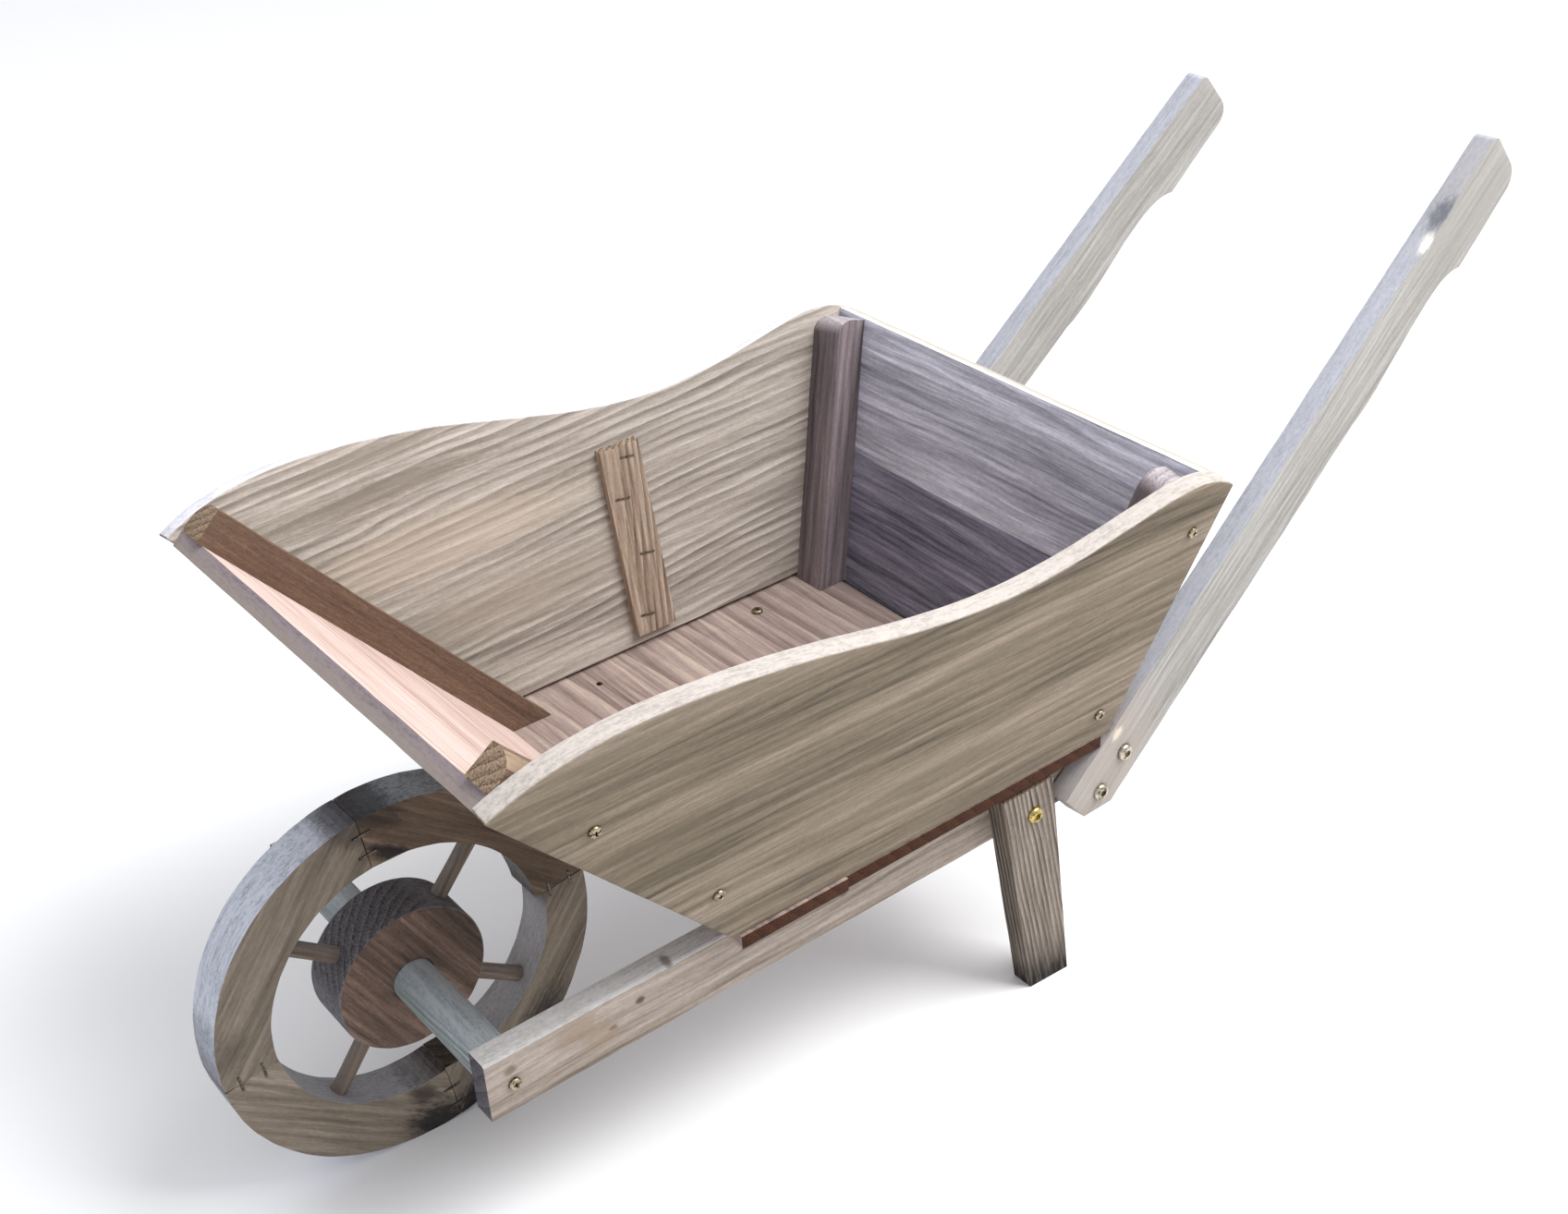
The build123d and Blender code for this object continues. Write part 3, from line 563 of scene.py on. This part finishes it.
# Marks on the wood: the level place, the sizes along, across and through the grain, the colour and the
# strength. First the darker and greyer streaks in the side panels.
LEFT_SIDE_MARKS = (
    ((-80, 156, 132), (52, 6, 30), "#5f5647", 0.62),
    ((-89, 151, 107), (50, 4, 30), "#5c5344", 0.6),
    ((-224, 153, 116), (46, 3, 30), "#655c4d", 0.5),
    ((-262, 145, 75), (62, 5, 30), "#6b6152", 0.45),
    ((-280, 158, 141), (75, 5, 30), "#685f50", 0.45),
    ((-424, 156, 130), (34, 5, 30), "#625949", 0.5),
    ((-422, 152, 112), (36, 2.5, 30), "#5f5546", 0.55),
    ((-50, 170, 201), (52, 5, 30), "#6a6152", 0.5),
)
RIGHT_SIDE_MARKS = (
    ((-104, -158, 202), (60, 6, 30), "#857b6e", 0.6),
    ((-112, -154, 180), (78, 7, 30), "#7d7366", 0.65),
    ((-171, -136, 90), (110, 22, 30), "#8f8271", 0.35),
    ((-130, -145, 140), (120, 20, 30), "#d3c1ab", 0.3),
)
# Knots and stains in the left rail's outer face.
RAIL_MARKS = (
    ((-76, 122, 8), (3.4, 2.6, 8), "#4a3c33", 0.85),
    ((-59, 122, 0), (3, 2, 8), "#54463b", 0.8),
    ((-38, 122, 11), (17, 9, 12), "#86735f", 0.5),
    ((-52, 122, -2), (14, 8, 12), "#8a7763", 0.45),
    ((1, 122, 9), (4, 3, 8), "#6a5546", 0.7),
    ((-210, 122, 4), (3, 2.4, 8), "#5c4c40", 0.7),
    ((-96, 118, 20), (3, 2, 6), "#5a4d47", 0.7),
)
# The left handle's duller grip, the tear before it, and the grey and rough spots at its foot.
HANDLE_MARKS = (
    ((-718, 122, 262), (66, 34, 34), "#97928d", 0.5),
    ((-684, 121, 261), (17, 6, 12), "#5d6068", 0.85),
    ((-669, 124, 247), (9, 5, 7), "#efeae0", 0.95),
    ((-394, 136, 6), (60, 60, 40), "#a3978f", 0.6),
    ((-399, 136, 31), (9, 5, 14), "#5c4c44", 0.8),
    ((-406, 138, 23), (6, 4, 6), "#d9cbb4", 0.8),
)
# Black marks in each of the rim's four blocks, all of one colour: stains, and in blocks 3 and 4 painted shade
# along the bottom of the wheel.
RIM_STAINS_AND_SHADE = (
    (((16, 12, 106), (14, 16, 40), 0.55), ((108, 4, 10), (20, 16, 40), 0.35)),
    (((-4, 12, 80), (22, 6, 40), 0.9), ((6, 10, 112), (26, 12, 60), 0.6), ((-86, 4, 64), (34, 16, 60), 0.6)),
    (((-26, 8, -106), (36, 18, 60), 0.95), ((-66, 8, -84), (40, 16, 60), 0.75)),
    (((-4, 8, -110), (30, 16, 60), 0.9), ((6, 8, -82), (12, 7, 40), 0.7)),
)
STAINED_BLOCK = 2
# The legs are damp below this level.
FOOT_DAMP_TOP = -88


class BARROW_OT_side_panels(bpy.types.Operator):
    """Builds both side panels with their S-curved tops"""
    bl_idname = "barrow.side_panels"
    bl_label = "Side panels"

    def execute(self, context):
        settings = context.scene.barrow
        self.build(settings, "left", 1, "olive_grey_outer_fir", LEFT_SIDE_MARKS, 3, 3)
        self.build(settings, "right", -1, "tan_inner_fir", RIGHT_SIDE_MARKS, 7, 4)
        return {"FINISHED"}

    @staticmethod
    def build(settings, hand, side, kind, marks, log_seed, surface_seed):
        """One panel: a grid laid over the boards' outer face, thickened inwards."""
        upper_node, lower_node = f"{hand}_side_upper_board", f"{hand}_side_lower_board"
        upper, lower = node_points(upper_node), node_points(lower_node)
        foot_z = min(p.z for p in lower)
        foot_y = max(side * p.y for p in lower if p.z < foot_z + 0.1)

        def on_outer(p):
            return abs(side * p.y - foot_y - (p.z - foot_z) * SPLAY) < 0.05

        crown_x, crown_z = zip(*sorted((p.x, p.z) for p in upper if on_outer(p) and p.z > CROWN_FROM))
        feet = [p.x for p in lower if on_outer(p) and p.z < foot_z + 0.1]
        bpy.ops.object.select_all(action="DESELECT")
        bpy.ops.mesh.primitive_grid_add(x_subdivisions=settings.grid_along, y_subdivisions=PANEL_ROWS, size=1)
        piece = bpy.context.object
        piece.name = piece.data.name = f"{hand}_side_panel"
        for vertex in piece.data.vertices:
            share, rise = vertex.co.x + 0.5, vertex.co.y + 0.5
            foot = Vector((min(feet) + share * (max(feet) - min(feet)), foot_z))
            top_x = crown_x[0] + share * (crown_x[-1] - crown_x[0])
            top = Vector((top_x, float(np.interp(top_x, crown_x, crown_z))))
            x, z = foot.lerp(top, rise)
            vertex.co = LEVEL @ Vector((x, side * (foot_y + (z - foot_z) * SPLAY), z))
        out = level_dir(0, side, -SPLAY)
        only(piece)
        bpy.ops.object.mode_set(mode="EDIT")
        bpy.ops.mesh.select_all(action="SELECT")
        if piece.data.polygons[0].normal.dot(out) < 0:
            bpy.ops.mesh.flip_normals()
        bpy.ops.object.mode_set(mode="OBJECT")
        wall = piece.modifiers.new("wall", "SOLIDIFY")
        wall.thickness, wall.offset = PANEL_THICKNESS, -1
        bpy.ops.object.modifier_apply(modifier=wall.name)
        round_arrises(piece, settings.arris * 1000)
        rail = level_dir(1, 0, 0)
        x, y, z = PANEL_MIDDLE
        log = Timber((rail, out.cross(rail), out), LEVEL @ Vector((x, side * y, z)), log_seed)
        lay_grain(piece, log, skyward(1.0))
        wander(piece, 0.3, surface_seed)
        finish_piece(piece, finish(kind, hand, log.marks(marks)), "barrow", "side_boards",
                     upper_node, lower_node)


class BARROW_OT_boards(bpy.types.Operator):
    """Builds the floor, the front panel and the back boards"""
    bl_idname = "barrow.boards"
    bl_label = "Floor and end boards"

    def execute(self, context):
        settings = context.scene.barrow
        grey = tuple(settings.weathered)
        floor = dict(kind="pink_brown_floor_fir", slot="floor_boards", arris=0.7, bleach_and_light=sheltered,
                     axes=(CROSS, level_dir(1, 0, 0), level_dir(0, 0, 1)))
        worn_stick("floor_front_board", seed=11, **floor)
        worn_stick("floor_rear_board", seed=12, **floor)

        up = level_dir(math.cos(FRONT_LEAN), 0, math.sin(FRONT_LEAN))
        out = level_dir(math.sin(FRONT_LEAN), 0, -math.cos(FRONT_LEAN))
        worn_stick("front_panel", "cream_front_fir", "front_board", settings.arris * 1000, 13,
                   axes=(CROSS, up, up.cross(CROSS)), bleach_and_light=top_edge(up),
                   marks=weathered_outside("front_panel", out, grey))

        up = level_dir(-math.sin(BACK_LEAN), 0, math.cos(BACK_LEAN))
        out = level_dir(-math.cos(BACK_LEAN), 0, -math.sin(BACK_LEAN))
        # the lower board takes the darker copy of the same wood: painted shade of the corner
        for name, kind, seed in (("back_lower_board", "shaded_purple_grey_fir", 15),
                                 ("back_upper_board", "purple_grey_fir", 16)):
            worn_stick(name, kind, "back_boards", 0.6, seed, axes=(CROSS, up, up.cross(CROSS)),
                       bleach_and_light=top_edge(up), marks=weathered_outside(name, out, grey))
        return {"FINISHED"}


class BARROW_OT_battens(bpy.types.Operator):
    """Builds the corner battens and the cleats across the side panels"""
    bl_idname = "barrow.battens"
    bl_label = "Battens and cleats"

    def execute(self, context):
        for seed, hand in enumerate(("left", "right")):
            worn_stick(f"{hand}_front_batten", "rough_sawn_brown_fir", "battens", 1.0, 21 + seed, amount=0.7,
                       bleach_and_light=skyward(0.25), rubbed=0.9)
            worn_stick(f"{hand}_rear_batten", "lilac_grey_fir", "battens", 2.4, 23 + seed, amount=0.4)
            worn_stick(f"{hand}_side_cleat", "striped_cleat_fir", "cleats", 0.4, 25 + seed,
                       bleach_and_light=skyward(0.4), teeth=(4.2, 1.0), rubbed=0.5)
        return {"FINISHED"}


class BARROW_OT_under_frame(bpy.types.Operator):
    """Builds the rails and the legs"""
    bl_idname = "barrow.under_frame"
    bl_label = "Rails and legs"

    def execute(self, context):
        arris = context.scene.barrow.arris * 1000

        def foot_damp_and_front_shade(p, normal):
            """Damp at the legs' feet, and painted shade on their front faces."""
            # painted shade: the faces that look forward are darkened, as if turned away from the light
            shade = 0.32 if normal.x > 0.6 else 0.0
            wet = min(1.0, (FOOT_DAMP_TOP - p.z) / 36) ** 2 * 0.9 if p.z < FOOT_DAMP_TOP else 0.0
            return max(shade, wet)

        for seed, hand in enumerate(("left", "right")):
            worn_stick(f"{hand}_rail", "pinkish_grey_fir", "rails", arris, 31 + seed, bleach_and_light=skyward(0.8),
                       rubbed=0.7, marks=RAIL_MARKS if hand == "left" else ())
            worn_stick(f"{hand}_leg", "ribbed_grey_brown_fir", "legs", 0.7, 33 + seed, stain_and_shade=foot_damp_and_front_shade,
                       teeth=(3.6, 0.9))
        return {"FINISHED"}


class BARROW_OT_handles(bpy.types.Operator):
    """Builds the two raised handles"""
    bl_idname = "barrow.handles"
    bl_label = "Handles"

    def execute(self, context):
        for seed, hand in enumerate(("left", "right")):
            worn_stick(f"{hand}_handle", "silver_grey_fir", "handles", 1.4, 41 + seed, amount=0.45,
                       marks=HANDLE_MARKS if hand == "left" else ())
        return {"FINISHED"}


class BARROW_OT_wheel(bpy.types.Operator):
    """Builds the wheel's rim blocks, spokes and hub, and its axle"""
    bl_idname = "barrow.wheel"
    bl_label = "Wheel"

    def execute(self, context):
        black = tuple(context.scene.barrow.damp_black)

        def radial(where):
            return Vector((where.x, 0, where.z)).normalized()

        # on the rim blocks, the pale colour this mask lays on is worn grey with painted blue sky light
        def tread(where, normal):
            """Full on what faces out from the axle, and 0.45 on what faces in."""
            facing = (TO_LEVEL.to_3x3() @ normal).normalized().dot(radial(where))
            return 1.0 if facing > 0.7 else 0.45 if facing < -0.7 else 0.0

        # each block's black marks: stains, and painted shade at the wheel's bottom
        for number, stains_and_shade in enumerate(RIM_STAINS_AND_SHADE, 1):
            node = f"felloe_{number}"
            outward = radial(node_middle(node) - AXLE_AT)
            kind = "stained_rim_fir" if number == STAINED_BLOCK else "brown_grey_rim_fir"
            worn_stick(node, kind, "felloes", 0.9, 51 + number, body="wheel", amount=0.5,
                       axes=(outward.cross(CROSS), outward, CROSS), bleach_and_light=tread,
                       marks=[(place, sizes, black, strength) for place, sizes, strength in stains_and_shade])
            worn_stick(f"spoke_{number}", "grey_brown_dowel", "spokes", 0.3, 56 + number, body="wheel",
                       step=12, bleach_and_light=skyward(0.4))
        slope = Vector((math.cos(1.0), 0, math.sin(1.0)))
        worn_stick("hub", "dark_hub_fir", "hub", 0.6, 61, body="wheel", bleach_and_light=tread,
                   axes=(slope, CROSS.cross(slope), CROSS))
        worn_stick("axle", "green_grey_dowel", "axle", 0.4, 62)
        return {"FINISHED"}


class BARROW_OT_fasteners(bpy.types.Operator):
    """Gives the screws, bolts, nuts and staples their metals"""
    bl_idname = "barrow.fasteners"
    bl_label = "Fasteners"

    def execute(self, context):
        metals = {
            "side_screws": "antique_plated_steel", "end_panel_screws": "antique_plated_steel",
            "floor_screws": "antique_plated_steel", "axle_screws": "antique_plated_steel",
            "leg_bolts": "yellow_zinc_steel", "handle_bolts": "nickel_plated_steel",
            "nuts_and_washers": "nickel_plated_steel", "cleat_staples": "rusty_steel_wire",
            "rim_staples": "dark_iron_wire",
        }
        for node, kind in metals.items():
            mesh = frame["nodes"][node].data
            mesh.materials.clear()
            mesh.materials.append(finish(kind))
        return {"FINISHED"}


class BARROW_OT_stage(bpy.types.Operator):
    """Sets the pale floor, the soft light and the camera"""
    bl_idname = "barrow.stage"
    bl_label = "Stage"

    def execute(self, context):
        scene = context.scene
        bpy.ops.object.select_all(action="DESELECT")
        bpy.ops.mesh.primitive_plane_add(size=12, location=(0, 0, 0))
        ground = context.object
        ground.name = "studio_floor"
        made, tree = new_material("pale_studio_floor")
        shader = add(tree, "BsdfPrincipled", "#f2f2f2", in_Roughness=0.9)
        add(tree, "OutputMaterial", shader)
        ground.data.materials.append(made)

        world = bpy.data.worlds.new("studio_air")
        scene.world = world
        world.use_nodes = True
        air = world.node_tree.nodes["Background"]
        air.inputs["Color"].default_value = tint("#f4f6fb")
        air.inputs["Strength"].default_value = 0.95

        # a large soft box, high over the left handle
        lamp = bpy.data.lights.new("softbox", "AREA")
        lamp.shape, lamp.size, lamp.energy = "SQUARE", 1.7, 85
        box = bpy.data.objects.new("softbox", lamp)
        scene.collection.objects.link(box)
        box.location = LIGHT_FROM.normalized() * LIGHT_DISTANCE + LIGHT_AIM
        box.rotation_euler = (LIGHT_AIM - box.location).to_track_quat("-Z", "Y").to_euler()

        eye = bpy.data.cameras.new("camera")
        eye.lens, eye.sensor_width = scene.barrow.lens, 36
        eye.clip_start, eye.clip_end = 0.05, 30
        camera = bpy.data.objects.new("camera", eye)
        scene.collection.objects.link(camera)
        level = math.cos(CAMERA_ABOVE)
        back = Vector((math.sin(CAMERA_AROUND) * level, -math.cos(CAMERA_AROUND) * level,
                       math.sin(CAMERA_ABOVE)))
        camera.location = CAMERA_AT
        camera.rotation_euler = (-back).to_track_quat("-Z", "Y").to_euler()
        scene.camera = camera
        scene.view_settings.view_transform = "Standard"
        return {"FINISHED"}


STEPS = (
    BARROW_OT_side_panels, BARROW_OT_boards, BARROW_OT_battens, BARROW_OT_under_frame, BARROW_OT_handles,
    BARROW_OT_wheel, BARROW_OT_fasteners, BARROW_OT_stage,
)


class BARROW_PT_sidebar(bpy.types.Panel):
    """Lists the wheelbarrow's pieces"""
    bl_label = "Garden wheelbarrow"
    bl_idname = "BARROW_PT_sidebar"
    bl_space_type = "VIEW_3D"
    bl_region_type = "UI"
    bl_category = "Wheelbarrow"

    def draw(self, context):
        settings = context.scene.barrow
        for name in ("arris", "grid_along", "weathered", "damp_black", "lens"):
            self.layout.prop(settings, name)
        for step in STEPS:
            self.layout.operator(step.bl_idname)


def register():
    bpy.utils.register_class(BarrowSettings)
    for step in STEPS:
        bpy.utils.register_class(step)
    bpy.utils.register_class(BARROW_PT_sidebar)
    bpy.types.Scene.barrow = PointerProperty(type=BarrowSettings)


def unregister():
    del bpy.types.Scene.barrow
    bpy.utils.unregister_class(BARROW_PT_sidebar)
    for step in reversed(STEPS):
        bpy.utils.unregister_class(step)
    bpy.utils.unregister_class(BarrowSettings)


def main():
    """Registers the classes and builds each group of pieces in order."""
    register()
    bpy.ops.barrow.side_panels()
    bpy.ops.barrow.boards()
    bpy.ops.barrow.battens()
    bpy.ops.barrow.under_frame()
    bpy.ops.barrow.handles()
    bpy.ops.barrow.wheel()
    bpy.ops.barrow.fasteners()
    bpy.ops.barrow.stage()


if __name__ == "__main__":
    main()
